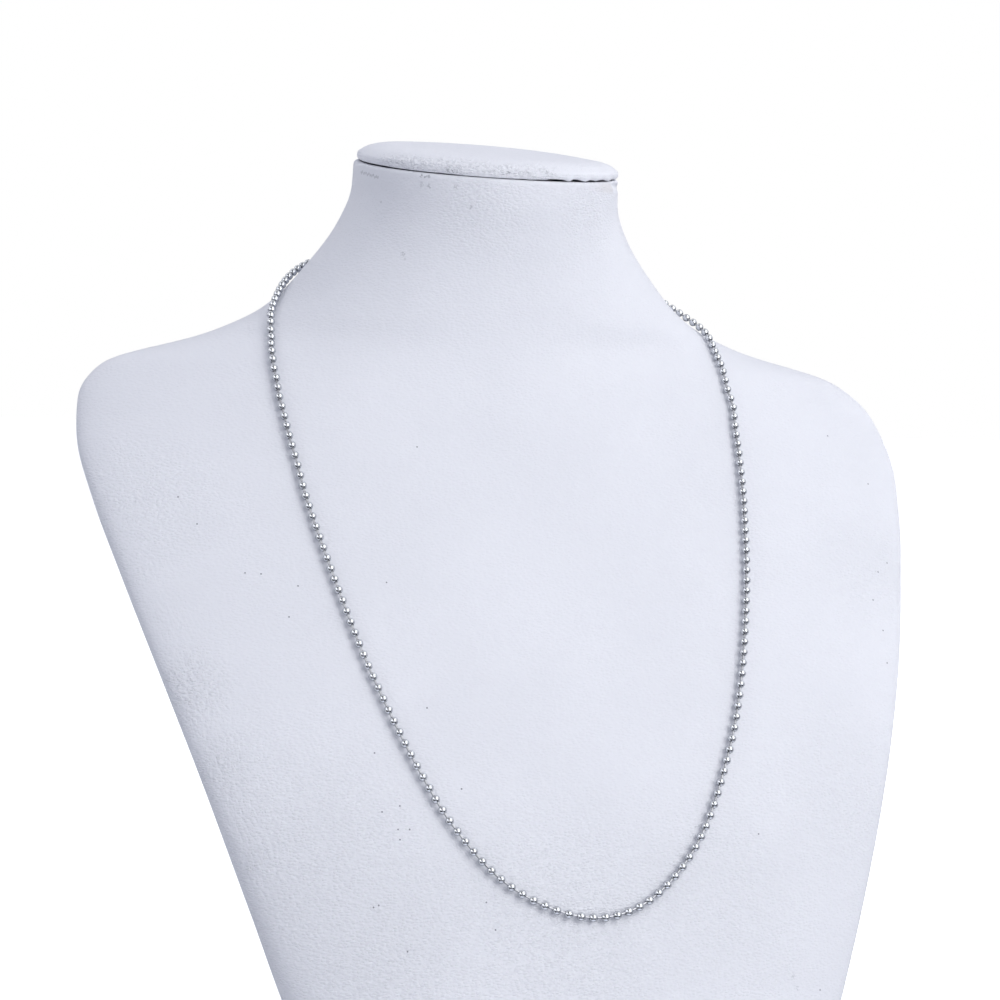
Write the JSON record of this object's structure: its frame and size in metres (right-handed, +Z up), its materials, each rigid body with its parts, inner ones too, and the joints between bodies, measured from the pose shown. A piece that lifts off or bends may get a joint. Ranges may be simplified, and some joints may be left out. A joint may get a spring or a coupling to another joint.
{
  "type": "ball chain necklace on a neck bust",
  "caption": "Long ball chain of polished steel beads on a wire, worn in one closed loop round a white leatherette neck bust that stands on its flat foot.",
  "frame": {"origin": "on the floor, under the middle of the whole", "axes": "+Z up along the neck, -Y towards the chest's front, +X towards the bust's left shoulder"},
  "size_m": [0.251, 0.181, 0.2534],
  "materials": {
    "leatherette": "matte with a fine pebble grain",
    "chain_steel": "polished"
  },
  "bodies": {
    "root": {"bust": "leatherette", "neck_cap": "leatherette", "chain_beads": "chain_steel", "chain_wire": "chain_steel", "coupling": "chain_steel"}
  },
  "joints": []
}
